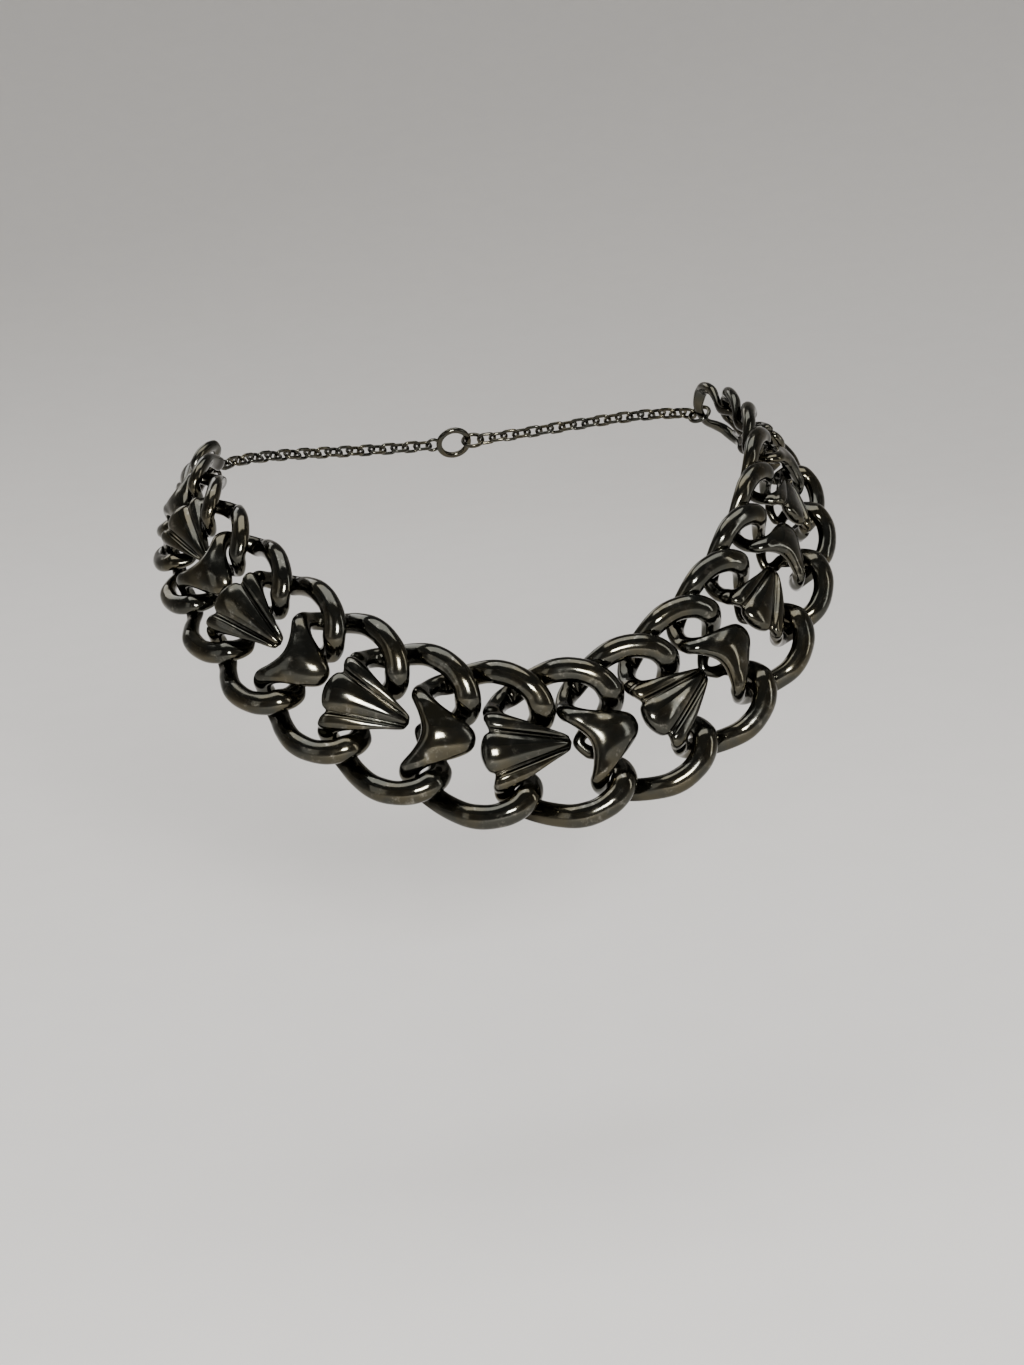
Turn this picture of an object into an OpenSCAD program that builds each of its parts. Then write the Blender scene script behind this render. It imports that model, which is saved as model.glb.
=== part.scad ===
// Curb-style collar necklace: nineteen folded ring links, largest in front,
// closed behind the neck by a fine cable chain and a round clasp.
// Millimetres. +Z is up, the front of the collar faces -Y, and the origin is the
// middle of the neck loop at the height of the front link's middle.

/* [Neck loop] */
// Half the width of the loop that the links' middles lie on
loop_half_width = 81; // [80:1:84]
// Half the depth of that loop, from the front link to the back of the neck
loop_half_depth = 66; // [64:1:68]
// Height of the loop over the shoulders, above the front link
side_rise = 56; // [54:1:58]
// Height of the loop at the back of the neck, above the front link
back_rise = 58; // [56:1:60]

/* [Lean of the links] */
// Slope of the front link, from the horizontal
tilt_front = 69; // [67:1:71]
// Slope of the links on the shoulders
tilt_side = 55; // [53:1:57]
// Slope of the chain at the back of the neck
tilt_back = 63; // [61:1:65]

/* [Ring links] */
// Step from the front link to the next, along the loop
pitch = 20.8; // [20.6:0.1:20.9]
// Size lost between the front link and a link a quarter cycle away
size_drop = 0.44; // [0.4:0.01:0.48]
// Degrees of that cosine fall for each link away from the front
fall_rate = 10; // [9:0.5:10]
// Part of the step that is lost on the shoulders, where the links close up
side_closing = 0.022; // [0:0.001:0.03]
// Wire added to the width and the thickness of every section, at the front link
extra_wire = 0; // [-0.4:0.1:0.1]

/* [Cable chain] */
// Wire diameter of a cable link
cable_wire = 1; // [0.9:0.1:1.1]
// Length of a cable link between the middles of its end bows
cable_long = 5; // [4.8:0.1:5.2]
// Width of a cable link between the middles of its sides
cable_wide = 3.2; // [3.1:0.1:3.4]
// Wire diameter of a jump ring
jump_wire = 1.2; // [1.1:0.1:1.3]
// Radius of a jump ring, to the middle of its wire
jump_radius = 3; // [2.9:0.1:3.1]
// Running gap between two rings that hang in each other
hang_gap = 0.15; // [0.12:0.01:0.2]

/* [Clasp] */
// Radius of the round clasp, to the middle of its wire
clasp_radius = 4.5; // [4.2:0.1:4.8]
// Wire diameter of the round clasp
clasp_wire = 1.8; // [1.6:0.1:2]
// Radius of the clasp's eye, to the middle of its wire
eye_radius = 1.9; // [1.8:0.1:2]

/* [Hidden] */
each_side = 9;
wire_sides = 8;
round_fn = 32;
metal = [0.15, 0.14, 0.13];

// Sections of the front link, one row each, from its left end round the upper half.
// Columns: along and across the chain at the section's outer edge, along and across at
// its inner edge, height at the outer edge, height at the inner edge, thickness.
OUT_ALONG = 0;
OUT_ACROSS = 1;
IN_ALONG = 2;
IN_ACROSS = 3;
OUT_HEIGHT = 4;
IN_HEIGHT = 5;
THICK = 6;

// The smooth three-armed cushion that a plain link folds to the front
CUSHION = [
    [-14.4, 0, -0.5, 0, 4.8, 2.9, 5.8],
    [-14.8, 2.4, -1.4, 2.6, 4.7, 2.8, 5.4],
    [-16, 5.1, -4.9, 4.9, 4.2, 2.8, 4.5],
    [-17.5, 7.6, -9.7, 6.8, 3.7, 2.9, 4.1],
    [-18.2, 9.2, -12.2, 8.2, 2.4, 1.8, 4.2]
];
// The fluted shell that the other links fold to the front: a wide middle lobe, a groove
// with a thin ridge in it, and a rounded arm
SHELL = [
    [-20.6, 0, 3, 0, 4, 1.6, 5.4],
    [-20.4, 1.7, 2.95, 0.2, 4, 1.6, 5.2],
    [-19.9, 3.3, 2.9, 0.4, 3.9, 1.6, 4.6],
    [-19.1, 4.6, 2.85, 0.6, 3.8, 1.6, 3.7],
    [-17.9, 5.3, 2.8, 0.75, 3.7, 1.6, 2.8],
    [-17.8, 5.7, 2.75, 0.9, 3.7, 1.6, 3.1],
    [-17.9, 6.1, 2.7, 1.1, 3.7, 1.6, 2.8],
    [-18.3, 7.2, 2, 2.1, 3.8, 1.9, 4.2],
    [-18.5, 8.2, -1.3, 3.6, 3.6, 2.7, 4],
    [-18.5, 9, -8.2, 6, 3.1, 3, 3.6],
    [-18.3, 9.5, -12.2, 8, 1.8, 1.6, 4]
];
// The fold at the left end, the hook behind it and the arm out to the ring
HOOK = [
    [-18, 11, -12.8, 9.2, 0.5, 0.5, 3.7],
    [-16.7, 12.5, -12.1, 9.9, -1.9, -1.9, 3.7],
    [-13.8, 15.1, -10.8, 10.8, -4, -4, 3.7],
    [-9.7, 17.5, -7.9, 11.8, -5.1, -5.1, 3.3],
    [-5.3, 19.7, -4.1, 13.8, -1.9, -1.9, 3.8]
];
// A plain bow in place of the fold, for the first link of the chain
LEFT_BOW = [
    [-12.7, 0, -7.3, 0, -0.7, -0.7, 3.6],
    [-12.2, 5, -7, 3.7, -0.7, -0.7, 3.6],
    [-10.5, 9.7, -6.1, 7.2, -0.8, -0.8, 3.6],
    [-7.5, 14.5, -4.2, 10.8, -0.8, -0.8, 3.6],
    [-3.9, 18.4, -1.8, 13.6, -0.6, -0.6, 3.7]
];
// The long upper arc of the ring
ARC = [
    [-0.2, 21.3, 0.2, 15.2, 1.2, 1.2, 4.8],
    [4.2, 21.5, 3.6, 15.2, 2.4, 2.4, 5.2],
    [8.5, 20.5, 6.4, 14.6, 3.1, 3.1, 5.4],
    [12.3, 18.8, 8.8, 13.3, 3.5, 3.5, 5.4],
    [15.5, 16.1, 10.3, 12, 3.4, 3.4, 5.2]
];
// The lobe at the right end, curling under into the deep notch
NOTCH = [
    [17.8, 12.6, 11.2, 10.4, 2.8, 2.8, 5],
    [18.5, 9.7, 11.8, 9, 0.4, 0.4, 4.6],
    [17.7, 6.7, 11.4, 7.5, -2, -2, 3.8],
    [15, 4.3, 10.7, 6.4, -3.1, -3.1, 2.9],
    [12, 2.3, 9.4, 5, -3.1, -3.1, 2.5],
    [9.1, 1.3, 6.9, 3.9, -3.2, -3.2, 2.4],
    [7.5, 0, 4.3, 0, -3.2, -3.2, 2.4]
];
// A plain bow in place of the notch, for the last link of the chain
RIGHT_BOW = [
    [18.4, 12, 12.3, 9.2, 1.8, 1.8, 4.8],
    [19.6, 6.3, 14, 5, -1, -1, 4],
    [19.8, 0, 14.3, 0, -1.8, -1.8, 3.8]
];

// How far the bows' edges lie from the middle of their link, at the front link's size
left_bow_inner = -LEFT_BOW[0][IN_ALONG];
right_bow_inner = RIGHT_BOW[len(RIGHT_BOW) - 1][IN_ALONG];

function unit(v) = v / norm(v);

// The loop: a point, its slope and the links' lean at a turn in degrees from the front
function loop_point(turn) = [
    loop_half_width * sin(turn),
    -loop_half_depth * cos(turn),
    back_rise * (1 - cos(turn)) / 2 + (side_rise - back_rise / 2) * pow(sin(turn), 2)
];
function loop_slope(turn) = [
    loop_half_width * cos(turn),
    loop_half_depth * sin(turn),
    back_rise * sin(turn) / 2 + (side_rise - back_rise / 2) * sin(2 * turn)
];
function lean(turn) =
    tilt_front + (tilt_back - tilt_front) * (1 - cos(turn)) / 2
    + (tilt_side - (tilt_front + tilt_back) / 2) * pow(sin(turn), 2);

// The turn reached from another after a run along the loop, which may be negative
function advance(turn, run) =
    let (halfway = turn + run / 2 / norm(loop_slope(turn)) * 180 / PI)
    turn + run / norm(loop_slope(halfway)) * 180 / PI;

// Directions at a turn: along the chain, across it towards the neck, and outward
function axes_at(turn) =
    let (
        along = unit(loop_slope(turn)),
        inward = unit([-along[1], along[0], 0]),
        leaning = inward * cos(lean(turn)) + [0, 0, sin(lean(turn))],
        across = unit(leaning - along * (leaning * along))
    )
    [along, across, cross(along, across)];

function placed(p, turn, size) =
    let (axes = axes_at(turn))
    loop_point(turn) + size * (p[0] * axes[0] + p[1] * axes[1] + p[2] * axes[2]);

// Size and place of ring link k, counted from the front and negative to the left
function link_size(k) = 1 - size_drop * (1 - cos(fall_rate * k));
function link_step(k, turn) =
    pitch * (link_size(k - 1) + link_size(k)) / 2 * (1 - side_closing * pow(sin(turn), 2));
function link_turn(k) =
    k < 0 ? -link_turn(-k)
    : k == 0 ? 0
    : let (before = link_turn(k - 1)) advance(before, link_step(k, before));

// A link's rows all the way round: the upper half, then its mirror image
function lower(row) = [
    row[OUT_ALONG], -row[OUT_ACROSS], row[IN_ALONG], -row[IN_ACROSS],
    row[OUT_HEIGHT], row[IN_HEIGHT], row[THICK]
];
function all_round(half) =
    concat(half, [for (i = [len(half) - 2:-1:1]) lower(half[i])]);
function link_rows(k) =
    let (
        left = k == -each_side ? LEFT_BOW : concat(k % 2 == 0 ? SHELL : CUSHION, HOOK),
        right = k == each_side ? RIGHT_BOW : NOTCH
    )
    all_round(concat(left, ARC, right));

function outer_edge(row) = [row[OUT_ALONG], row[OUT_ACROSS], row[OUT_HEIGHT]];
function inner_edge(row) = [row[IN_ALONG], row[IN_ACROSS], row[IN_HEIGHT]];
function middle(row) = (outer_edge(row) + inner_edge(row)) / 2;

// A round wire's section is an ellipse. A section more than round_ratio times as wide as
// thick gets blunter ends, fully so at blunt_ratio: its sines and cosines are raised to a
// power that falls from 1 to blunt_power.
round_ratio = 1.6;
blunt_ratio = 3.6;
blunt_power = 0.72;
function end_power(wide, thick) =
    let (share = (wide / thick - round_ratio) / (blunt_ratio - round_ratio))
    1 - (1 - blunt_power) * min(1, max(0, share));
function blunted(value, power) = sign(value) * pow(abs(value), power);

// One section, square to the run of the wire between its neighbours
function section(rows, i) =
    let (
        last = len(rows) - 1,
        ahead = middle(rows[i == last ? 0 : i + 1]),
        behind = middle(rows[i == 0 ? last : i - 1]),
        edge_gap = outer_edge(rows[i]) - inner_edge(rows[i]),
        power = end_power(norm(edge_gap), rows[i][THICK]),
        half_width = (edge_gap + unit(edge_gap) * extra_wire) / 2,
        half_thick = (rows[i][THICK] + extra_wire) / 2,
        half_height = unit(cross(half_width, ahead - behind)) * half_thick
    )
    [
        for (j = [0:wire_sides - 1])
            let (angle = (j + 0.5) * 360 / wire_sides)
            middle(rows[i])
                + half_width * blunted(cos(angle), power)
                + half_height * blunted(sin(angle), power)
    ];

// A ring of sections joined to each other and back to the first
module swept_ring(rows, turn, size) {
    points = [
        for (i = [0:len(rows) - 1], p = section(rows, i)) placed(p, turn, size)
    ];
    faces = [
        for (i = [0:len(rows) - 1], j = [0:wire_sides - 1])
            let (
                next_i = (i + 1) % len(rows),
                next_j = (j + 1) % wire_sides,
                a = i * wire_sides + j,
                b = next_i * wire_sides + j,
                c = next_i * wire_sides + next_j,
                d = i * wire_sides + next_j
            )
            each [[a, c, b], [a, d, c]]
    ];
    polyhedron(points, faces);
}

module ring_link(k) {
    color(metal)
        swept_ring(link_rows(k), link_turn(k), link_size(k));
}

// Places on the loop of the plain parts behind the neck. A run is a distance along the
// loop from the last ring link's middle towards the back, the same on both sides.
back_turn = link_turn(each_side);
end_size = link_size(each_side);
measure_steps = 60;
function run_between(from, to) =
    let (step = (to - from) / measure_steps)
    [for (i = [0:measure_steps - 1]) norm(loop_slope(from + step * (i + 0.5)))]
    * [for (i = [0:measure_steps - 1]) step * PI / 180];
back_run = run_between(back_turn, 180);
walk_steps = 12;
function walk(turn, run, steps = walk_steps) =
    steps == 0 ? turn : walk(advance(turn, run / steps), run - run / steps, steps - 1);

// side is 1 on the right and -1 on the left
module at_run(side, run, roll = 0) {
    turn = side * walk(back_turn, run);
    axes = axes_at(turn);
    spot = loop_point(turn);
    multmatrix([
        [axes[0][0], axes[1][0], axes[2][0], spot[0]],
        [axes[0][1], axes[1][1], axes[2][1], spot[1]],
        [axes[0][2], axes[1][2], axes[2][2], spot[2]],
        [0, 0, 0, 1]
    ])
        rotate([roll, 0, 0]) children();
}

module round_ring(radius, wire) {
    rotate_extrude($fn = round_fn)
        translate([radius, 0])
            circle(d = wire, $fn = round_fn);
}

// An oval link lying along X: two half rings and two straight sides
module oval_link(long, wide, wire) {
    straight = long - wide;
    for (end = [-1, 1])
        translate([end * straight / 2, 0, 0])
            rotate(end * 90 - 180)
                rotate_extrude(angle = 180, $fn = round_fn)
                    translate([wide / 2, 0])
                        circle(d = wire, $fn = round_fn);
    for (end = [-1, 1])
        translate([-straight / 2, end * wide / 2, 0])
            rotate([0, 90, 0])
                cylinder(h = straight, d = wire, $fn = round_fn);
}

// Runs on each side: the jump ring round the bow, then the cable's first and last link
function jump_run(bow_inner) = bow_inner * end_size - hang_gap - jump_wire / 2 + jump_radius;
function first_cable_run(bow_inner) =
    jump_run(bow_inner) + jump_radius - jump_wire / 2 - hang_gap - cable_wire / 2
    + cable_long / 2;
jump_run_right = jump_run(right_bow_inner);
jump_run_left = jump_run(left_bow_inner);

// The clasp, on the right, and its eye share the middle of the back
eye_gap = clasp_radius + eye_radius;
clasp_far_run = back_run - eye_gap / 2 - clasp_radius + clasp_wire / 2;
end_ring_run = clasp_far_run + hang_gap + jump_wire / 2 - jump_radius;
last_cable_run_right =
    end_ring_run - jump_radius + jump_wire / 2 + hang_gap + cable_wire / 2 - cable_long / 2;
eye_far_run_left = back_run - eye_gap / 2 - eye_radius;
last_cable_run_left =
    eye_far_run_left + cable_wire / 2 + hang_gap + cable_wire / 2 - cable_long / 2;

module jump_ring(side, run) {
    color(metal)
        at_run(side, run, 90)
            round_ring(jump_radius, jump_wire);
}

// A stretch of cable chain, every other link turned a quarter turn. The first link lies
// flat, and so does the last one if the number of steps is even: odd is 0 or 1.
module cable(side, first_run, last_run, odd) {
    taut_pitch = cable_long - cable_wire - hang_gap;
    steps = odd + 2 * ceil(((last_run - first_run) / taut_pitch - odd) / 2);
    color(metal)
        for (i = [0:steps])
            at_run(side, first_run + (last_run - first_run) * i / steps, i % 2 == 0 ? 0 : 90)
                oval_link(cable_long, cable_wide, cable_wire);
}

// The round clasp: a plain closed ring with a small eye for the left cable
module clasp() {
    color(metal)
        at_run(1, back_run) {
            translate([-eye_gap / 2, 0, 0])
                round_ring(clasp_radius, clasp_wire);
            translate([eye_gap / 2, 0, 0])
                round_ring(eye_radius, cable_wire);
        }
}

ring_link(0);  // link_front
for (k = [1:each_side]) {
    ring_link(k);
    ring_link(-k);
}
jump_ring(1, jump_run_right);  // jump_ring_right
jump_ring(-1, jump_run_left);  // jump_ring_left
cable(1, first_cable_run(right_bow_inner), last_cable_run_right, 0);  // cable_right
cable(-1, first_cable_run(left_bow_inner), last_cable_run_left, 1);  // cable_left
jump_ring(1, end_ring_run);  // end_ring
clasp();
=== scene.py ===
"""Dresses the collar necklace: cast ring links, fine cable chain, rings and clasp.

Lengths are in metres, and the tables of a link's sections in millimetres at the front
link's size. The collar's front faces -Y, and the origin is the middle of its loop,
at the height of the front link's middle.
"""

from collections import namedtuple

import bpy
import numpy as np
from mathutils import Matrix


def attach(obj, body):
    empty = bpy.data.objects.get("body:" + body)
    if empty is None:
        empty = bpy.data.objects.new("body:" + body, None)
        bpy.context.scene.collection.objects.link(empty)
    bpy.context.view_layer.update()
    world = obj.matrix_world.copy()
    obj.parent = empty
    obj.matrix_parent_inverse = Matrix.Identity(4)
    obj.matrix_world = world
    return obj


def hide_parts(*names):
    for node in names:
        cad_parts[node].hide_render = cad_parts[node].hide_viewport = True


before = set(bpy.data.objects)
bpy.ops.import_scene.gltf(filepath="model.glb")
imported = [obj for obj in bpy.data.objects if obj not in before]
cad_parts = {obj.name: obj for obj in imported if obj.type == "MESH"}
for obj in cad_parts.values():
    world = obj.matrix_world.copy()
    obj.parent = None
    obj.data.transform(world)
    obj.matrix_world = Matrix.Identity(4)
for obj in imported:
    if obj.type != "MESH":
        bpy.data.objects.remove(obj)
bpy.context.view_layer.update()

bl_info = {
    "name": "Folded-ring collar",
    "version": (1, 0, 0),
    "blender": (4, 5, 0),
    "location": "View3D > Sidebar > Collar",
    "description": "Builds the cast links, the fine chain and the finish of a collar necklace",
    "category": "Object",
}

MM = 0.001
EACH_SIDE = 9
BODY = "root"

# Columns of a link's sections: along and across the chain at the outer edge and at the
# inner edge, the two edges' heights, the thickness, and how far the section's belly lies
# towards its outer edge, from -1 to 1.
OUT_ALONG = 0
OUT_ACROSS = 1
IN_ALONG = 2
IN_ACROSS = 3
OUT_HEIGHT = 4
IN_HEIGHT = 5
THICK = 6
BELLY = 7

# One row for each section of the front link's upper half, from its left end
CUSHION = (
    (-14.4, 0, -0.5, 0, 4.8, 2.9, 5.8, 0.1),
    (-14.8, 2.4, -1.4, 2.6, 4.7, 2.8, 5.4, 0.1),
    (-16, 5.1, -4.9, 4.9, 4.2, 2.8, 4.5, 0.1),
    (-17.5, 7.6, -9.7, 6.8, 3.7, 2.9, 4.1, 0),
    (-18.2, 9.2, -12.2, 8.2, 2.4, 1.8, 4.2, 0),
)
SHELL = (
    (-20.6, 0, 3, 0, 4, 1.6, 5.4, 0.3),
    (-20.4, 1.7, 2.95, 0.2, 4, 1.6, 5.2, 0.3),
    (-19.9, 3.3, 2.9, 0.4, 3.9, 1.6, 4.6, 0.3),
    (-19.1, 4.6, 2.85, 0.6, 3.8, 1.6, 3.7, 0.3),
    (-17.9, 5.3, 2.8, 0.75, 3.7, 1.6, 2.8, 0.3),
    (-17.8, 5.7, 2.75, 0.9, 3.7, 1.6, 3.1, 0.3),
    (-17.9, 6.1, 2.7, 1.1, 3.7, 1.6, 2.8, 0.25),
    (-18.3, 7.2, 2, 2.1, 3.8, 1.9, 4.2, 0.2),
    (-18.5, 8.2, -1.3, 3.6, 3.6, 2.7, 4, 0.2),
    (-18.5, 9, -8.2, 6, 3.1, 3, 3.6, 0.15),
    (-18.3, 9.5, -12.2, 8, 1.8, 1.6, 4, 0),
)
HOOK = (
    (-18, 11, -12.8, 9.2, 0.5, 0.5, 3.7, 0),
    (-16.7, 12.5, -12.1, 9.9, -1.9, -1.9, 3.7, 0),
    (-13.8, 15.1, -10.8, 10.8, -4, -4, 3.7, 0),
    (-9.7, 17.5, -7.9, 11.8, -5.1, -5.1, 3.3, 0),
    (-5.3, 19.7, -4.1, 13.8, -1.9, -1.9, 3.8, 0),
)
LEFT_BOW = (
    (-12.7, 0, -7.3, 0, -0.7, -0.7, 3.6, 0),
    (-12.2, 5, -7, 3.7, -0.7, -0.7, 3.6, 0),
    (-10.5, 9.7, -6.1, 7.2, -0.8, -0.8, 3.6, 0),
    (-7.5, 14.5, -4.2, 10.8, -0.8, -0.8, 3.6, 0),
    (-3.9, 18.4, -1.8, 13.6, -0.6, -0.6, 3.7, 0),
)
ARC = (
    (-0.2, 21.3, 0.2, 15.2, 1.2, 1.2, 4.8, 0),
    (4.2, 21.5, 3.6, 15.2, 2.4, 2.4, 5.2, 0),
    (8.5, 20.5, 6.4, 14.6, 3.1, 3.1, 5.4, 0),
    (12.3, 18.8, 8.8, 13.3, 3.5, 3.5, 5.4, 0),
    (15.5, 16.1, 10.3, 12, 3.4, 3.4, 5.2, 0),
)
NOTCH = (
    (17.8, 12.6, 11.2, 10.4, 2.8, 2.8, 5, 0),
    (18.5, 9.7, 11.8, 9, 0.4, 0.4, 4.6, 0),
    (17.7, 6.7, 11.4, 7.5, -2, -2, 3.8, 0),
    (15, 4.3, 10.7, 6.4, -3.1, -3.1, 2.9, 0),
    (12, 2.3, 9.4, 5, -3.1, -3.1, 2.5, 0),
    (9.1, 1.3, 6.9, 3.9, -3.2, -3.2, 2.4, 0),
    (7.5, 0, 4.3, 0, -3.2, -3.2, 2.4, 0),
)
RIGHT_BOW = (
    (18.4, 12, 12.3, 9.2, 1.8, 1.8, 4.8, 0),
    (19.6, 6.3, 14, 5, -1, -1, 4, 0),
    (19.8, 0, 14.3, 0, -1.8, -1.8, 3.8, 0),
)

# A section is an ellipse up to ROUND_RATIO times as wide as thick. Beyond it the ends get
# blunter, fully so at BLUNT_RATIO.
ROUND_RATIO = 1.6
BLUNT_RATIO = 3.6
BLUNT_POWER = 0.72

# Fineness of the meshes: samples along the wire and sides round it
SECTIONS_PER_ROW = 8
LINK_SIDES = 48
RING_STEPS = 96
RING_SIDES = 24
OVAL_STEPS = 56
OVAL_SIDES = 16

# The raised field is 0 and 1 this many millimetres below and above a link's middle plane.
# The hollow field looks so many samples each way, and softens spans under a fifth of a
# millimetre.
RAISED_REACH = 6
HOLLOW_REACH = 3
HOLLOW_SOFTENING = 0.2

# Steps of the walk along the loop to a small part, and of the measure of its back
WALK_STEPS = 12
MEASURE_STEPS = 400

# Runs along the loop from the last ring link's middle, and the turn that they start at
BackRuns = namedtuple("BackRuns", "start back jump first last end_ring")

# Lights: name, place, the point that it faces, width and height, and power in watts
COLLAR_MIDDLE = (0.0, -0.04, 0.02)
BACKDROP = (0.0, 0.5, 0.0)
LIGHTS = (
    ("key", (-0.04, -1.12, 0.46), COLLAR_MIDDLE, (0.3, 0.2), 23),
    ("left window", (-1.0, -0.7, 0.4), COLLAR_MIDDLE, (0.4, 0.8), 1.1),
    ("right window", (1.0, -0.6, 0.4), COLLAR_MIDDLE, (0.14, 0.8), 2.2),
    ("above", (0.0, 0.1, 1.6), BACKDROP, (1.6, 1.0), 21),
    ("behind", (-0.5, 0.9, 0.8), COLLAR_MIDDLE, (0.8, 0.5), 4),
)
AIR_COLOUR = (0.78, 0.79, 0.78, 1.0)
AIR_STRENGTH = 0.22


class CollarSizes(bpy.types.PropertyGroup):
    """Driving sizes of the collar"""

    loop_half_width: bpy.props.FloatProperty(
        name="Loop half width", description="Half the width of the loop of link middles",
        default=0.081, unit="LENGTH",
    )
    loop_half_depth: bpy.props.FloatProperty(
        name="Loop half depth", description="Half the depth of the loop, front to back",
        default=0.066, unit="LENGTH",
    )
    side_rise: bpy.props.FloatProperty(
        name="Side rise", description="Height of the loop at its sides",
        default=0.056, unit="LENGTH",
    )
    back_rise: bpy.props.FloatProperty(
        name="Back rise", description="Height of the loop at its back",
        default=0.058, unit="LENGTH",
    )
    tilt_front: bpy.props.FloatProperty(
        name="Front tilt", description="Slope of the front link from the horizontal",
        default=np.radians(69), unit="ROTATION",
    )
    tilt_side: bpy.props.FloatProperty(
        name="Side tilt", description="Slope of the links at the sides",
        default=np.radians(55), unit="ROTATION",
    )
    tilt_back: bpy.props.FloatProperty(
        name="Back tilt", description="Slope of the chain at the back",
        default=np.radians(63), unit="ROTATION",
    )
    pitch: bpy.props.FloatProperty(
        name="Pitch", description="Step from the front link to the next",
        default=0.0208, unit="LENGTH",
    )
    size_drop: bpy.props.FloatProperty(
        name="Size drop", description="Size lost towards a link a quarter cycle away",
        default=0.44, subtype="FACTOR",
    )
    fall_rate: bpy.props.FloatProperty(
        name="Fall rate", description="Angle of the cosine fall for each link",
        default=np.radians(10), unit="ROTATION",
    )
    side_closing: bpy.props.FloatProperty(
        name="Side closing", description="Part of the step lost at the sides",
        default=0.022, subtype="FACTOR",
    )
    extra_wire: bpy.props.FloatProperty(
        name="Extra wire", description="Wire added to each section at the front link",
        default=0.0, unit="LENGTH",
    )
    cable_wire: bpy.props.FloatProperty(
        name="Cable wire", description="Wire diameter of a cable link",
        default=0.001, unit="LENGTH",
    )
    cable_long: bpy.props.FloatProperty(
        name="Cable link length", description="Between the middles of its end bows",
        default=0.005, unit="LENGTH",
    )
    cable_wide: bpy.props.FloatProperty(
        name="Cable link width", description="Between the middles of its sides",
        default=0.0032, unit="LENGTH",
    )
    jump_wire: bpy.props.FloatProperty(
        name="Jump ring wire", description="Wire diameter of a jump ring",
        default=0.0012, unit="LENGTH",
    )
    jump_radius: bpy.props.FloatProperty(
        name="Jump ring radius", description="To the middle of its wire",
        default=0.003, unit="LENGTH",
    )
    hang_gap: bpy.props.FloatProperty(
        name="Hanging gap", description="Running gap between rings that hang in each other",
        default=0.00015, unit="LENGTH",
    )
    clasp_radius: bpy.props.FloatProperty(
        name="Clasp radius", description="To the middle of the clasp's wire",
        default=0.0045, unit="LENGTH",
    )
    clasp_wire: bpy.props.FloatProperty(
        name="Clasp wire", description="Wire diameter of the round clasp",
        default=0.0018, unit="LENGTH",
    )
    eye_radius: bpy.props.FloatProperty(
        name="Eye radius", description="To the middle of the wire of the clasp's eye",
        default=0.0019, unit="LENGTH",
    )


class CollarFinish(bpy.types.PropertyGroup):
    """Colours of the blackened metal, and of the painted shade at its back and in its hollows
    """

    black: bpy.props.FloatVectorProperty(
        name="Blackened metal", description="Colour of the metal where its finish is whole",
        default=(0.048, 0.048, 0.041), subtype="COLOR",
    )
    brown: bpy.props.FloatVectorProperty(
        name="Brown bloom", description="Colour of the warm patches in the finish",
        default=(0.068, 0.061, 0.042), subtype="COLOR",
    )
    worn: bpy.props.FloatVectorProperty(
        name="Worn metal", description="Colour where handling has rubbed the finish thin",
        default=(0.28, 0.266, 0.228), subtype="COLOR",
    )
    # Painted shade: the colour that the back of each link and its hollows are darkened towards
    painted_shade: bpy.props.FloatVectorProperty(
        name="Painted shade at back and hollows", description="Colour at the back and in the hollows",
        default=(0.02, 0.018, 0.014), subtype="COLOR",
    )


class CollarStage(bpy.types.PropertyGroup):
    """Camera, floor and light"""

    camera_distance: bpy.props.FloatProperty(
        name="Camera distance", description="From the middle of the loop",
        default=0.59, unit="LENGTH",
    )
    camera_pitch: bpy.props.FloatProperty(
        name="Camera pitch", description="How far the camera looks down",
        default=0.268, unit="ROTATION",
    )
    camera_yaw: bpy.props.FloatProperty(
        name="Camera yaw", description="How far the camera looks towards +X",
        default=0.194, unit="ROTATION",
    )
    camera_roll: bpy.props.FloatProperty(
        name="Camera roll", description="How far the camera leans about its view",
        default=-0.08, unit="ROTATION",
    )
    camera_aside: bpy.props.FloatProperty(
        name="Camera aside", description="How far the camera stands to the right",
        default=0.0023, unit="LENGTH",
    )
    camera_up: bpy.props.FloatProperty(
        name="Camera up", description="How far the camera stands above its line",
        default=-0.0005, unit="LENGTH",
    )
    focal: bpy.props.FloatProperty(
        name="Focal length", description="In millimetres, across a frame 36 mm wide",
        default=73.9,
    )
    floor_drop: bpy.props.FloatProperty(
        name="Floor drop", description="Height of the collar's loop above the floor",
        default=0.12, unit="LENGTH",
    )
    floor_colour: bpy.props.FloatVectorProperty(
        name="Floor colour", description="Colour of the plain pale floor",
        default=(0.72, 0.695, 0.665), subtype="COLOR",
    )


def unit(vectors):
    """Each vector divided by its own length."""
    return vectors / np.linalg.norm(vectors, axis=-1, keepdims=True)


def loop_point(sizes, turn):
    """The loop at a turn in radians: an ellipse seen from above, whose height is
    half the back's rise times one less the cosine, plus a share of the sine squared."""
    swell = sizes.side_rise - sizes.back_rise / 2
    return np.array([
        sizes.loop_half_width * np.sin(turn),
        -sizes.loop_half_depth * np.cos(turn),
        sizes.back_rise * (1 - np.cos(turn)) / 2 + swell * np.sin(turn) ** 2,
    ])


def loop_slope(sizes, turn):
    """The loop point's rate of change with the turn."""
    swell = sizes.side_rise - sizes.back_rise / 2
    return np.array([
        sizes.loop_half_width * np.cos(turn),
        sizes.loop_half_depth * np.sin(turn),
        sizes.back_rise * np.sin(turn) / 2 + swell * np.sin(2 * turn),
    ])


def advance(sizes, turn, run):
    """The turn reached after a run along the loop, by one midpoint step."""
    halfway = turn + run / 2 / np.linalg.norm(loop_slope(sizes, turn))
    return turn + run / np.linalg.norm(loop_slope(sizes, halfway))


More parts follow.
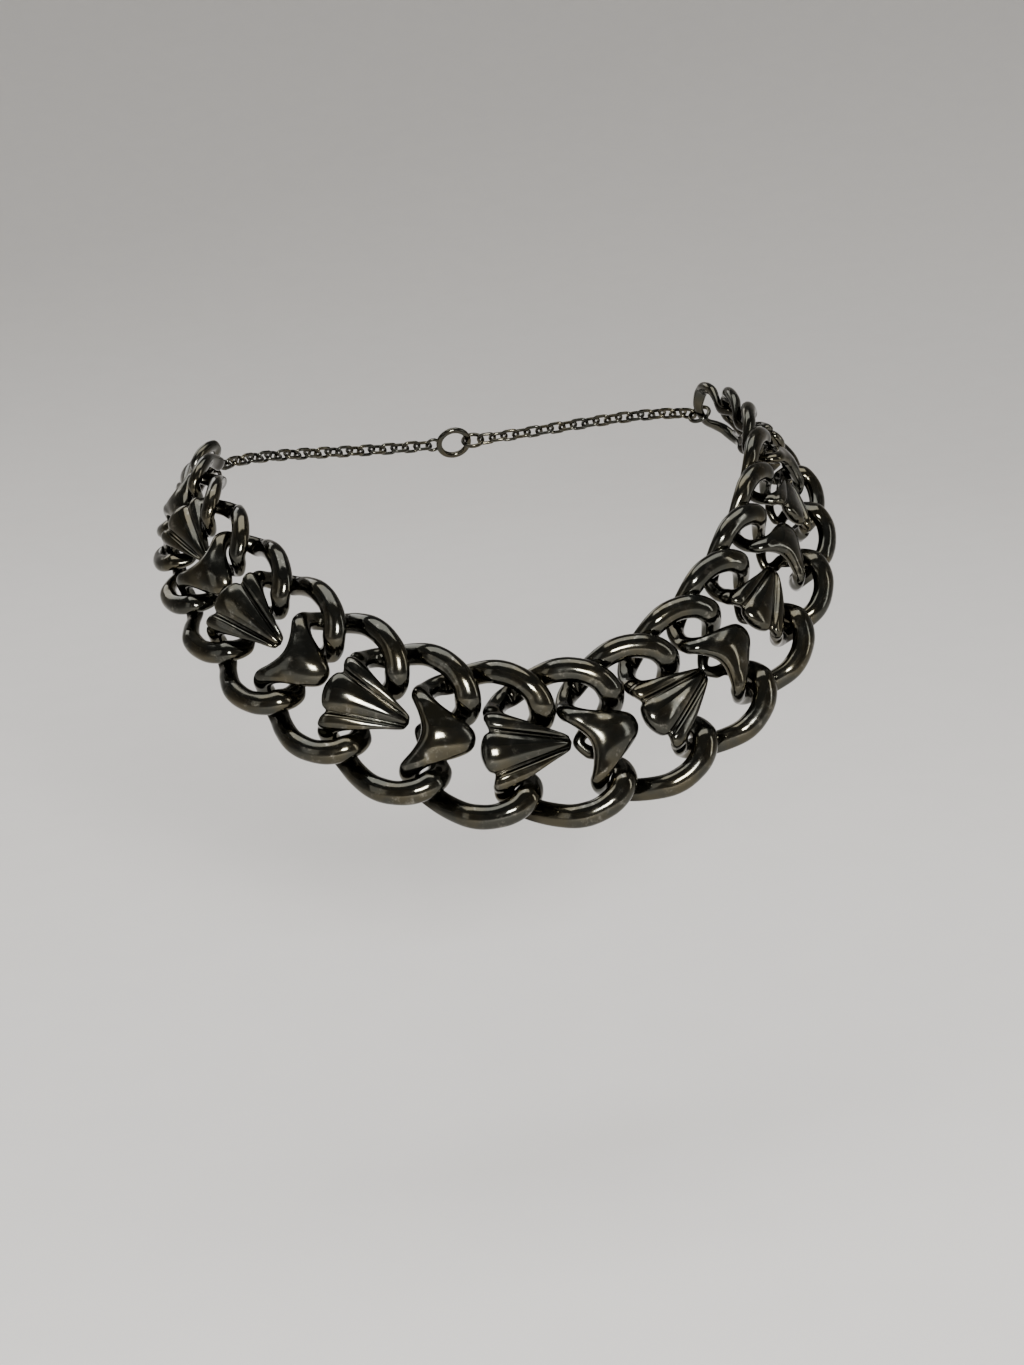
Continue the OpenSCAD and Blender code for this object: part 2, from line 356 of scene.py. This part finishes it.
def lean(sizes, turn):
    """The links' slope at a turn: blends front, side and back with cosine and sine squared."""
    share = (1 - np.cos(turn)) / 2
    straight = sizes.tilt_front + (sizes.tilt_back - sizes.tilt_front) * share
    dip = sizes.tilt_side - (sizes.tilt_front + sizes.tilt_back) / 2
    return straight + dip * np.sin(turn) ** 2


def axes_at(sizes, turn):
    """Rows are the directions along the chain, across it inward and up, and outward."""
    along = unit(loop_slope(sizes, turn))
    inward = unit(np.array([-along[1], along[0], 0.0]))
    slope = lean(sizes, turn)
    leaning = inward * np.cos(slope) + np.array([0.0, 0.0, np.sin(slope)])
    across = unit(leaning - along * (leaning @ along))
    return np.array([along, across, np.cross(along, across)])


def link_size(sizes, k):
    """Size of link k: one less a cosine fall."""
    return 1 - sizes.size_drop * (1 - np.cos(sizes.fall_rate * k))


def link_turn(sizes, k):
    """The turn of link k, stepped along the loop by the mean size of each pair."""
    if k < 0:
        return -link_turn(sizes, -k)
    turn = 0.0
    for step in range(1, k + 1):
        mean = (link_size(sizes, step - 1) + link_size(sizes, step)) / 2
        closing = 1 - sizes.side_closing * np.sin(turn) ** 2
        turn = advance(sizes, turn, sizes.pitch * mean * closing)
    return turn


def place(sizes, points, turn, size=1.0):
    """Points given along, across and outward, moved to their turn of the loop."""
    return loop_point(sizes, turn) + size * (points @ axes_at(sizes, turn))


def link_rows(k):
    """A link's rows all the way round: the upper half, then its mirror image."""
    if k == -EACH_SIDE:
        left = LEFT_BOW
    else:
        left = (SHELL if k % 2 == 0 else CUSHION) + HOOK
    right = RIGHT_BOW if k == EACH_SIDE else NOTCH
    half = np.array(left + ARC + right, float)
    lower = half[-2:0:-1].copy()
    lower[:, [OUT_ACROSS, IN_ACROSS]] *= -1
    return np.vstack([half, lower])


def resampled(rows, steps):
    """Catmull-Rom curve through a closed list of rows, with steps samples for each span."""
    before, here = np.roll(rows, 1, 0)[:, None], rows[:, None]
    after, later = np.roll(rows, -1, 0)[:, None], np.roll(rows, -2, 0)[:, None]
    t = (np.arange(steps) / steps)[None, :, None]
    curve = (
        2 * here
        + (after - before) * t
        + (2 * before - 5 * here + 4 * after - later) * t ** 2
        + (3 * here - before - 3 * after + later) * t ** 3
    ) / 2
    return curve.reshape(-1, rows.shape[1])


def rounding(cosine, width, thick):
    """A cosine or sine raised to the power that shapes a section, with its sign kept: the
    power is 1 in a section of round wire, and falls towards the blunter ends of a long
    one by how many times wider than thick it is."""
    share = np.clip((width / thick - ROUND_RATIO) / (BLUNT_RATIO - ROUND_RATIO), 0, 1)
    power = 1 - (1 - BLUNT_POWER) * share
    return np.sign(cosine) * np.abs(cosine) ** power


def swept_sections(rows, spacing, sides, extra):
    """A ring of oval sections. Each runs from its outer to its inner edge, so its point at
    angle a is the middle, plus half the width times the rounded cos a along the section,
    plus half the thickness times the rounded sin a times (1 + belly cos a) square to the
    section and to the run of the middles, taken over spacing samples each way."""
    outer = rows[:, [OUT_ALONG, OUT_ACROSS, OUT_HEIGHT]]
    inner = rows[:, [IN_ALONG, IN_ACROSS, IN_HEIGHT]]
    middle = (outer + inner) / 2
    width = np.linalg.norm(outer - inner, axis=1, keepdims=True)
    across = (outer - inner) / width
    run = np.roll(middle, -spacing, 0) - np.roll(middle, spacing, 0)
    face = unit(np.cross(across, run))
    thick = rows[:, THICK, None]
    angle = np.arange(sides) * 2 * np.pi / sides
    sideways = (width + extra) / 2 * rounding(np.cos(angle), width, thick)
    belly = 1 + rows[:, BELLY:] * np.cos(angle)
    upward = (thick + extra) / 2 * rounding(np.sin(angle), width, thick) * belly
    return (
        middle[:, None]
        + sideways[..., None] * across[:, None]
        + upward[..., None] * face[:, None]
    )


def closed_grid(rings, sides):
    """Four-sided faces of a grid that closes both ways, with the corner's place in the grid."""
    ring, side = np.meshgrid(np.arange(rings), np.arange(sides), indexing="ij")
    corner_ring = np.stack([ring, ring, ring + 1, ring + 1], -1).reshape(-1, 4)
    corner_side = np.stack([side, side + 1, side + 1, side], -1).reshape(-1, 4)
    faces = (corner_ring % rings) * sides + corner_side % sides
    uv = np.stack([corner_ring / rings, corner_side / sides], -1)
    return faces, uv


def hollowness(points, reach):
    """How far each point of a grid of sections lies below the line between its neighbours,
    reach samples before and after it along the wire, as a share of half their distance,
    plus a half: so more than a half in a groove and less on a ridge."""
    ahead, behind = np.roll(points, -reach, 0), np.roll(points, reach, 0)
    outward = unit(points - points.mean(axis=1, keepdims=True))
    sag = ((ahead + behind) / 2 - points) * outward
    distance = np.linalg.norm(ahead - behind, axis=-1) / 2
    return 0.5 + sag.sum(axis=-1) / (distance + HOLLOW_SOFTENING)


def new_piece(name, points, faces, uv, fields, material, nodes):
    """A smooth mesh object that stands for its nodes, with the wire's own UV map and a
    named attribute for each field, such as the height of each point from 0 to 1."""
    mesh = bpy.data.meshes.new(name)
    mesh.from_pydata(points, [], faces)
    mesh.shade_smooth()
    layer = mesh.uv_layers.new(name="wire")
    layer.data.foreach_set("uv", uv.reshape(-1).astype(np.float32))
    for label, values in fields.items():
        attribute = mesh.attributes.new(label, "FLOAT", "POINT")
        attribute.data.foreach_set("value", values.reshape(-1).astype(np.float32))
    mesh.materials.append(material)
    if mesh.validate():
        raise RuntimeError(f"{name}: its mesh had faults")
    piece = bpy.data.objects.new(name, mesh)
    bpy.context.scene.collection.objects.link(piece)
    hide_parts(*nodes)
    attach(piece, BODY)


def tube_round(path, radius, sides):
    """A closed tube: round sections square to a closed flat path in the X-Y plane."""
    run = unit(np.roll(path, -1, 0) - np.roll(path, 1, 0))
    up = np.array([0.0, 0.0, 1.0])
    aside = np.cross(run, up)
    angle = np.arange(sides) * 2 * np.pi / sides
    return (
        path[:, None]
        + radius * np.cos(angle)[None, :, None] * aside[:, None]
        + radius * np.sin(angle)[None, :, None] * up
    )


def circle_path(radius, steps):
    """Points evenly round a circle in the X-Y plane."""
    angle = np.arange(steps) * 2 * np.pi / steps
    return np.stack([radius * np.cos(angle), radius * np.sin(angle), 0 * angle], -1)


def oval_path(length, width, steps):
    """A circle of the link's width, pulled apart along X so that its sides are straight.
    The middle point of each side, whose X is 0 but for rounding, stays."""
    digits = 9
    circle = circle_path(width / 2, steps)
    circle[:, 0] += np.sign(np.round(circle[:, 0], digits)) * (length - width) / 2
    return circle


def rolled(points, quarter):
    """Points turned about X by a quarter turn, or left alone."""
    return points[..., [0, 2, 1]] * np.array([1, -1, 1]) if quarter else points


def node_group(name, inputs, outputs):
    """A shader node group with named sockets: inputs are (name, type, default)."""
    group = bpy.data.node_groups.new(name, "ShaderNodeTree")
    for label, kind, value in inputs:
        socket = group.interface.new_socket(label, in_out="INPUT", socket_type=kind)
        socket.default_value = value
    for label, kind in outputs:
        group.interface.new_socket(label, in_out="OUTPUT", socket_type=kind)
    return group, group.nodes.new("NodeGroupInput"), group.nodes.new("NodeGroupOutput")


def add_noise(tree, vector, scale, detail, roughness=0.5):
    """A noise texture on a vector; scale is a number or a socket."""
    noise = tree.nodes.new("ShaderNodeTexNoise")
    noise.inputs["Detail"].default_value = detail
    noise.inputs["Roughness"].default_value = roughness
    tree.links.new(vector, noise.inputs["Vector"])
    if isinstance(scale, (int, float)):
        noise.inputs["Scale"].default_value = scale
    else:
        tree.links.new(scale, noise.inputs["Scale"])
    return noise.outputs["Fac"]


def add_range(tree, value, low, high, to_low=0.0, to_high=1.0):
    """A value mapped from one range to another, clamped and eased."""
    node = tree.nodes.new("ShaderNodeMapRange")
    node.interpolation_type = "SMOOTHSTEP"
    node.inputs["From Min"].default_value = low
    node.inputs["From Max"].default_value = high
    node.inputs["To Min"].default_value = to_low
    node.inputs["To Max"].default_value = to_high
    tree.links.new(value, node.inputs["Value"])
    return node.outputs["Result"]


def add_math(tree, operation, first, second):
    """A math node; either value is a number or a socket."""
    node = tree.nodes.new("ShaderNodeMath")
    node.operation = operation
    for value, socket in zip((first, second), node.inputs):
        if isinstance(value, (int, float)):
            socket.default_value = value
        else:
            tree.links.new(value, socket)
    return node.outputs["Value"]


def mix_sockets(node):
    """The colour sockets of a Mix node, whose names repeat for each data type."""
    colours = [s for s in node.inputs if s.type == "RGBA"]
    return colours[0], colours[1], [s for s in node.outputs if s.type == "RGBA"][0]


def blend_colours(tree, factor, first, second):
    """Two colour sockets mixed by a value socket."""
    node = tree.nodes.new("ShaderNodeMix")
    node.data_type = "RGBA"
    colour_a, colour_b, mixed = mix_sockets(node)
    tree.links.new(factor, node.inputs["Factor"])
    tree.links.new(first, colour_a)
    tree.links.new(second, colour_b)
    return mixed


def tarnish_group():
    """Blackened finish: warm bloom in soft patches, rubbed lighter in fine flecks where the
    metal stands proud, and painted shade: darker at the back of each link and in its hollows."""
    group, given, result = node_group(
        "blackened finish",
        [
            ("Vector", "NodeSocketVector", (0, 0, 0)),
            ("Raised", "NodeSocketFloat", 0.6),
            ("Hollow", "NodeSocketFloat", 0.5),
            ("Patch Scale", "NodeSocketFloat", 60.0),
            ("Rub Scale", "NodeSocketFloat", 240.0),
            ("Black", "NodeSocketColor", (0.1, 0.1, 0.1, 1)),
            ("Brown", "NodeSocketColor", (0.1, 0.1, 0.1, 1)),
            ("Worn", "NodeSocketColor", (0.4, 0.4, 0.4, 1)),
            # Painted shade colour for the back of a link and its hollows
            ("Painted Shade", "NodeSocketColor", (0.02, 0.02, 0.02, 1)),
        ],
        [("Color", "NodeSocketColor")],
    )
    patches = add_noise(group, given.outputs["Vector"], given.outputs["Patch Scale"], detail=3)
    bloom = add_range(group, patches, low=0.4, high=0.66)
    rubs = add_noise(
        group, given.outputs["Vector"], given.outputs["Rub Scale"], detail=7, roughness=0.7
    )
    proud = add_range(group, given.outputs["Raised"], low=0.55, high=1.0)
    ridge = add_range(group, given.outputs["Hollow"], low=0.48, high=0.25)
    worn_place = add_math(group, "MAXIMUM", proud, ridge)
    flecks = add_range(group, rubs, low=0.53, high=0.78, to_high=0.8)
    rubbed = add_math(group, "MULTIPLY", flecks, worn_place)
    tone = blend_colours(group, bloom, given.outputs["Black"], given.outputs["Brown"])
    # Painted shade: the back of each link, below its middle plane, and its hollows are blended
    # towards the painted shade colour.
    back = add_range(group, given.outputs["Raised"], low=0.42, high=0.08)
    groove = add_range(group, given.outputs["Hollow"], low=0.56, high=0.85)
    painted_shade_mask = add_math(group, "MAXIMUM", back, groove)
    tone = blend_colours(group, rubbed, tone, given.outputs["Worn"])
    tone = blend_colours(group, painted_shade_mask, tone, given.outputs["Painted Shade"])
    group.links.new(tone, result.inputs["Color"])
    return group


def handling_group():
    """Marks of use: a roughness that varies in cloudy patches and fine scratches, and a
    height of shallow dents with fine scratches, which run along X."""
    cloud_scale = 190.0
    scratch_stretch = (0.25, 1.0, 1.6)
    scratch_roughness = 0.5
    scratch_height = 0.08
    group, given, result = node_group(
        "handling marks",
        [
            ("Vector", "NodeSocketVector", (0, 0, 0)),
            ("Dent Scale", "NodeSocketFloat", 130.0),
            ("Scratch Scale", "NodeSocketFloat", 900.0),
            ("Smoothest", "NodeSocketFloat", 0.08),
            ("Roughest", "NodeSocketFloat", 0.19),
        ],
        [("Roughness", "NodeSocketFloat"), ("Height", "NodeSocketFloat")],
    )
    clouds = add_noise(
        group, given.outputs["Vector"], cloud_scale, detail=5, roughness=0.6
    )
    squash = group.nodes.new("ShaderNodeVectorMath")
    squash.operation = "MULTIPLY"
    squash.inputs[1].default_value = scratch_stretch
    group.links.new(given.outputs["Vector"], squash.inputs[0])
    hairs = add_noise(
        group, squash.outputs["Vector"], given.outputs["Scratch Scale"],
        detail=3, roughness=0.7,
    )
    scratches = add_range(group, hairs, low=0.55, high=0.75)
    marks = add_math(group, "MULTIPLY", scratches, scratch_roughness)
    spread = add_range(group, clouds, low=0.35, high=0.7)
    together = add_math(group, "ADD", spread, marks)
    span = add_math(group, "SUBTRACT", given.outputs["Roughest"], given.outputs["Smoothest"])
    rough = add_math(group, "MULTIPLY", together, span)
    rough = add_math(group, "ADD", rough, given.outputs["Smoothest"])
    dents = add_noise(
        group, given.outputs["Vector"], given.outputs["Dent Scale"], detail=2
    )
    low_hairs = add_math(group, "MULTIPLY", hairs, scratch_height)
    height = add_math(group, "ADD", dents, low_hairs)
    group.links.new(rough, result.inputs["Roughness"])
    group.links.new(height, result.inputs["Height"])
    return group


def metal_material(name, finish, fields, patch_scale, rub_scale):
    """The glossy blackened metal of one kind of piece, whose mesh has the named fields."""
    mark_strength = 0.1
    mark_depth = 0.0006
    material = bpy.data.materials.new(name)
    material.use_nodes = True
    tree = material.node_tree
    shader = tree.nodes["Principled BSDF"]
    shader.inputs["Metallic"].default_value = 1.0
    place_node = tree.nodes.new("ShaderNodeTexCoord")
    colour = tree.nodes.new("ShaderNodeGroup")
    colour.node_tree = bpy.data.node_groups["blackened finish"]
    colour.inputs["Patch Scale"].default_value = patch_scale
    colour.inputs["Rub Scale"].default_value = rub_scale
    for label, value in (
        ("Black", finish.black),
        ("Brown", finish.brown),
        ("Worn", finish.worn),
        # painted shade colour for the back and the hollows
        ("Painted Shade", finish.painted_shade),
    ):
        colour.inputs[label].default_value = (*value, 1.0)
    for field in fields:
        attribute = tree.nodes.new("ShaderNodeAttribute")
        attribute.attribute_name = field.lower()
        tree.links.new(attribute.outputs["Fac"], colour.inputs[field])
    marks = tree.nodes.new("ShaderNodeGroup")
    marks.node_tree = bpy.data.node_groups["handling marks"]
    bump = tree.nodes.new("ShaderNodeBump")
    bump.inputs["Strength"].default_value = mark_strength
    bump.inputs["Distance"].default_value = mark_depth
    tree.links.new(place_node.outputs["Object"], colour.inputs["Vector"])
    tree.links.new(place_node.outputs["Object"], marks.inputs["Vector"])
    tree.links.new(marks.outputs["Height"], bump.inputs["Height"])
    tree.links.new(colour.outputs["Color"], shader.inputs["Base Color"])
    tree.links.new(marks.outputs["Roughness"], shader.inputs["Roughness"])
    tree.links.new(bump.outputs["Normal"], shader.inputs["Normal"])
    return material


class COLLAR_OT_finishes(bpy.types.Operator):
    """Make the node groups and the materials of the blackened metal"""

    bl_idname = "collar.finishes"
    bl_label = "Blackened metal"

    def execute(self, context):
        """Builds each shared group once, then one material for each kind of piece."""
        finish = context.scene.collar_finish
        tarnish_group()
        handling_group()
        metal_material(
            "cast collar metal", finish, ("Raised", "Hollow"),
            patch_scale=110.0, rub_scale=420.0,
        )
        metal_material(
            "fine chain metal", finish, (), patch_scale=160.0, rub_scale=600.0
        )
        return {"FINISHED"}


class COLLAR_OT_ring_links(bpy.types.Operator):
    """Cast the ring links, each folded to the front at its left end"""

    bl_idname = "collar.ring_links"
    bl_label = "Ring links"

    def execute(self, context):
        """Makes one smooth piece for each ring link's node."""
        sizes = context.scene.collar_sizes
        material = bpy.data.materials["cast collar metal"]
        for k in range(-EACH_SIDE, EACH_SIDE + 1):
            side = "right" if k > 0 else "left"
            node = "link_front" if k == 0 else f"link_{side}_{abs(k)}"
            rows = resampled(link_rows(k), SECTIONS_PER_ROW)
            points = swept_sections(rows, SECTIONS_PER_ROW, LINK_SIDES, sizes.extra_wire / MM)
            # The raised and hollow fields place the rubbed flecks, and the painted shade at the
            # back and in the hollows.
            fields = {
                "raised": (points[..., 2] + RAISED_REACH) / (2 * RAISED_REACH),
                "hollow": hollowness(points, HOLLOW_REACH),
            }
            faces, uv = closed_grid(len(rows), LINK_SIDES)
            placed = place(sizes, points * MM, link_turn(sizes, k), link_size(sizes, k))
            new_piece(
                node + "_cast", placed.reshape(-1, 3), faces, uv, fields, material,
                [node],
            )
        return {"FINISHED"}


def back_runs(sizes):
    """Runs from the last ring link's middle to the small parts, the same on both sides:
    each ring lies a wire and a gap inside the one that it hangs in."""
    end_turn = link_turn(sizes, EACH_SIDE)
    step = (np.pi - end_turn) / MEASURE_STEPS
    turns = end_turn + step * (np.arange(MEASURE_STEPS) + 0.5)
    back = np.linalg.norm(loop_slope(sizes, turns), axis=0).sum() * step
    size = link_size(sizes, EACH_SIDE) * MM
    bows = {"right": RIGHT_BOW[-1][IN_ALONG] * size, "left": -LEFT_BOW[0][IN_ALONG] * size}
    inset = sizes.hang_gap + sizes.jump_wire / 2
    hang = sizes.jump_radius - inset - sizes.cable_wire / 2 + sizes.cable_long / 2
    jump = {side: bow - inset + sizes.jump_radius for side, bow in bows.items()}
    first = {side: run + hang for side, run in jump.items()}
    clasp_half = (sizes.clasp_radius + sizes.eye_radius) / 2
    clasp_far = back - clasp_half - sizes.clasp_radius + sizes.clasp_wire / 2
    end_ring = clasp_far + inset - sizes.jump_radius
    eye_far = back - clasp_half - sizes.eye_radius
    last = {
        "right": end_ring - hang,
        "left": eye_far + sizes.cable_wire + sizes.hang_gap - sizes.cable_long / 2,
    }
    return BackRuns(end_turn, back, jump, first, last, end_ring)


def at_run(sizes, points, side, start, run, quarter=False):
    """Points moved to a run along the loop from the start turn, on the left or right."""
    turn = start
    for _ in range(WALK_STEPS):
        turn = advance(sizes, turn, run / WALK_STEPS)
    return place(sizes, rolled(points, quarter), turn if side == "right" else -turn)


class COLLAR_OT_jump_rings(bpy.types.Operator):
    """Hang a jump ring in each end link, and the end ring in the clasp"""

    bl_idname = "collar.jump_rings"
    bl_label = "Jump rings"

    def execute(self, context):
        """Makes each ring from a circle of wire, turned on edge."""
        sizes = context.scene.collar_sizes
        runs = back_runs(sizes)
        ring = tube_round(
            circle_path(sizes.jump_radius, RING_STEPS), sizes.jump_wire / 2, RING_SIDES
        )
        faces, uv = closed_grid(RING_STEPS, RING_SIDES)
        material = bpy.data.materials["fine chain metal"]
        for node, side, run in (
            ("jump_ring_right", "right", runs.jump["right"]),
            ("jump_ring_left", "left", runs.jump["left"]),
            ("end_ring", "right", runs.end_ring),
        ):
            placed = at_run(sizes, ring, side, runs.start, run, quarter=True)
            new_piece(
                node + "_wire", placed.reshape(-1, 3), faces, uv, {}, material,
                [node],
            )
        return {"FINISHED"}


class COLLAR_OT_cables(bpy.types.Operator):
    """Link the fine cable chain on each side"""

    bl_idname = "collar.cables"
    bl_label = "Cable chains"

    def execute(self, context):
        """Makes each chain as one piece of oval links, every other one turned."""
        sizes = context.scene.collar_sizes
        runs = back_runs(sizes)
        path = oval_path(sizes.cable_long, sizes.cable_wide, OVAL_STEPS)
        oval = tube_round(path, sizes.cable_wire / 2, OVAL_SIDES)
        one_faces, one_uv = closed_grid(OVAL_STEPS, OVAL_SIDES)
        taut = sizes.cable_long - sizes.cable_wire - sizes.hang_gap
        # An even count of steps ends on a flat link, for the end ring that stands on edge,
        # and an odd count on a turned one, for the clasp's flat eye.
        for side, odd in (("right", 0), ("left", 1)):
            stretch = runs.last[side] - runs.first[side]
            steps = odd + 2 * int(np.ceil((stretch / taut - odd) / 2))
            middles = runs.first[side] + stretch * np.arange(steps + 1) / steps
            links = [
                at_run(sizes, oval, side, runs.start, run, quarter=i % 2 == 1).reshape(-1, 3)
                for i, run in enumerate(middles)
            ]
            count = OVAL_STEPS * OVAL_SIDES
            faces = np.vstack([one_faces + i * count for i in range(len(links))])
            uv = np.tile(one_uv, (len(links), 1, 1))
            new_piece(
                f"cable_{side}_wire", np.vstack(links), faces, uv, {},
                bpy.data.materials["fine chain metal"], [f"cable_{side}"],
            )
        return {"FINISHED"}


class COLLAR_OT_clasp(bpy.types.Operator):
    """Close the collar with its plain round clasp"""

    bl_idname = "collar.clasp"
    bl_label = "Clasp"

    def execute(self, context):
        """Makes the clasp's ring and its eye, side by side at the middle of the back."""
        sizes = context.scene.collar_sizes
        runs = back_runs(sizes)
        shift = np.array([(sizes.clasp_radius + sizes.eye_radius) / 2, 0.0, 0.0])
        big = circle_path(sizes.clasp_radius, RING_STEPS)
        small = circle_path(sizes.eye_radius, RING_STEPS)
        ring = tube_round(big, sizes.clasp_wire / 2, RING_SIDES) - shift
        eye = tube_round(small, sizes.cable_wire / 2, RING_SIDES) + shift
        placed = at_run(sizes, np.stack([ring, eye]), "right", runs.start, runs.back)
        faces, uv = closed_grid(RING_STEPS, RING_SIDES)
        count = RING_STEPS * RING_SIDES
        new_piece(
            "clasp_wire", placed.reshape(-1, 3), np.vstack([faces, faces + count]),
            np.concatenate([uv, uv]), {},
            bpy.data.materials["fine chain metal"], ["clasp"],
        )
        return {"FINISHED"}


def area_light(name, place_at, aim, size, power):
    """A soft rectangular light that faces a point."""
    data = bpy.data.lights.new(name, "AREA")
    data.shape = "RECTANGLE"
    data.size, data.size_y = size
    data.energy = power
    light = bpy.data.objects.new(name, data)
    bpy.context.scene.collection.objects.link(light)
    back = unit(np.array(place_at, float) - np.array(aim, float))
    right = unit(np.cross([0.0, 0.0, 1.0], back))
    turned = Matrix(np.array([right, np.cross(back, right), back]).T.tolist()).to_4x4()
    light.matrix_world = Matrix.Translation(place_at) @ turned


def studio_camera(stage):
    """A camera that looks at the middle of the loop from the photograph's side."""
    frame_width = 36.0
    nearest_view = 0.01
    pitch, yaw, roll = stage.camera_pitch, stage.camera_yaw, stage.camera_roll
    forward = np.array([
        np.sin(yaw) * np.cos(pitch), np.cos(yaw) * np.cos(pitch), -np.sin(pitch)
    ])
    level = np.array([np.cos(yaw), -np.sin(yaw), 0.0])
    upright = np.cross(level, forward)
    right = np.cos(roll) * level + np.sin(roll) * upright
    up = np.cos(roll) * upright - np.sin(roll) * level
    spot = (
        -forward * stage.camera_distance
        + right * stage.camera_aside
        + up * stage.camera_up
    )
    data = bpy.data.cameras.new("collar camera")
    data.sensor_fit = "HORIZONTAL"
    data.sensor_width = frame_width
    data.lens = stage.focal
    data.clip_start = nearest_view
    camera = bpy.data.objects.new("collar camera", data)
    bpy.context.scene.collection.objects.link(camera)
    turned = Matrix(np.array([right, up, -forward]).T.tolist()).to_4x4()
    camera.matrix_world = Matrix.Translation(spot.tolist()) @ turned
    bpy.context.scene.camera = camera


def pale_floor(stage):
    """A wide plain floor whose rim sweeps up all round. Its profile runs out flat, turns
    up through a quarter circle and ends in a straight wall, and is spun about Z."""
    steps = 128
    hub_radius = 0.02
    level_radius = 0.5
    flat_radius = 0.9
    bend_radius = 2.2
    bend_points = 32
    wall_top = 2.8
    matt_roughness = 0.85
    grain_scale = 40.0
    grain_shade = 0.985
    angle = np.linspace(0, np.pi / 2, bend_points)
    bend = bend_radius * np.stack([np.sin(angle), 1 - np.cos(angle)], -1)
    profile = np.vstack([
        [[hub_radius, 0.0], [level_radius, 0.0]],
        bend + [flat_radius, 0.0],
        [[flat_radius + bend_radius, wall_top]],
    ])
    turn = np.arange(steps) * 2 * np.pi / steps
    spun = np.stack([
        np.outer(profile[:, 0], np.cos(turn)),
        np.outer(profile[:, 0], np.sin(turn)),
        np.repeat(profile[:, 1:] - stage.floor_drop, steps, axis=1),
    ], -1)
    ring, side = np.meshgrid(np.arange(len(profile) - 1), np.arange(steps), indexing="ij")
    across = (side + 1) % steps
    faces = np.stack([
        ring * steps + side, (ring + 1) * steps + side,
        (ring + 1) * steps + across, ring * steps + across,
    ], -1).reshape(-1, 4).tolist()
    mesh = bpy.data.meshes.new("floor")
    mesh.from_pydata(spun.reshape(-1, 3), [], faces + [list(range(steps))])
    mesh.shade_smooth()
    material = bpy.data.materials.new("pale floor")
    material.use_nodes = True
    tree = material.node_tree
    shader = tree.nodes["Principled BSDF"]
    shader.inputs["Roughness"].default_value = matt_roughness
    coordinates = tree.nodes.new("ShaderNodeTexCoord")
    grain = add_noise(tree, coordinates.outputs["Object"], grain_scale, detail=3)
    tone = add_range(tree, grain, low=0.3, high=0.7)
    mix = tree.nodes.new("ShaderNodeMix")
    mix.data_type = "RGBA"
    colour_a, colour_b, mixed = mix_sockets(mix)
    base = np.array(stage.floor_colour)
    colour_a.default_value = (*(base * grain_shade), 1.0)
    colour_b.default_value = (*base, 1.0)
    tree.links.new(tone, mix.inputs["Factor"])
    tree.links.new(mixed, shader.inputs["Base Color"])
    mesh.materials.append(material)
    floor = bpy.data.objects.new("floor", mesh)
    bpy.context.scene.collection.objects.link(floor)


class COLLAR_OT_stage(bpy.types.Operator):
    """Set the pale floor, the soft light and the camera"""

    bl_idname = "collar.stage"
    bl_label = "Stage"

    def execute(self, context):
        """Lights the collar from the front, with soft light above and at the sides."""
        stage = context.scene.collar_stage
        pale_floor(stage)
        studio_camera(stage)
        for name, place_at, aim, size, power in LIGHTS:
            area_light(name, place_at, aim, size, power)
        world = bpy.data.worlds.new("studio air")
        context.scene.world = world
        world.use_nodes = True
        background = world.node_tree.nodes["Background"]
        background.inputs["Color"].default_value = AIR_COLOUR
        background.inputs["Strength"].default_value = AIR_STRENGTH
        return {"FINISHED"}


class COLLAR_PT_panel(bpy.types.Panel):
    """The collar's steps in the 3D view's sidebar"""

    bl_idname = "COLLAR_PT_panel"
    bl_label = "Folded-ring collar"
    bl_space_type = "VIEW_3D"
    bl_region_type = "UI"
    bl_category = "Collar"

    def draw(self, context):
        """Lists the operators, then the sizes, colours and stage settings."""
        for operator in OPERATORS:
            self.layout.operator(operator.bl_idname)
        for group in (
            context.scene.collar_sizes,
            context.scene.collar_finish,
            context.scene.collar_stage,
        ):
            for name in group.bl_rna.properties.keys():
                if name not in ("rna_type", "name"):
                    self.layout.prop(group, name)


GROUPS = {
    "collar_sizes": CollarSizes,
    "collar_finish": CollarFinish,
    "collar_stage": CollarStage,
}
OPERATORS = (
    COLLAR_OT_finishes,
    COLLAR_OT_ring_links,
    COLLAR_OT_jump_rings,
    COLLAR_OT_cables,
    COLLAR_OT_clasp,
    COLLAR_OT_stage,
)


def register():
    """Registers every class and hangs the property groups on the scene."""
    for cls in (*GROUPS.values(), *OPERATORS, COLLAR_PT_panel):
        bpy.utils.register_class(cls)
    for name, cls in GROUPS.items():
        setattr(bpy.types.Scene, name, bpy.props.PointerProperty(type=cls))


def unregister():
    """Takes the property groups off the scene and unregisters every class."""
    for name in GROUPS:
        delattr(bpy.types.Scene, name)
    for cls in reversed((*GROUPS.values(), *OPERATORS, COLLAR_PT_panel)):
        bpy.utils.unregister_class(cls)


def main():
    """Builds the collar step by step."""
    register()
    bpy.ops.collar.finishes()
    bpy.ops.collar.ring_links()
    bpy.ops.collar.jump_rings()
    bpy.ops.collar.cables()
    bpy.ops.collar.clasp()
    bpy.ops.collar.stage()


if __name__ == "__main__":
    main()
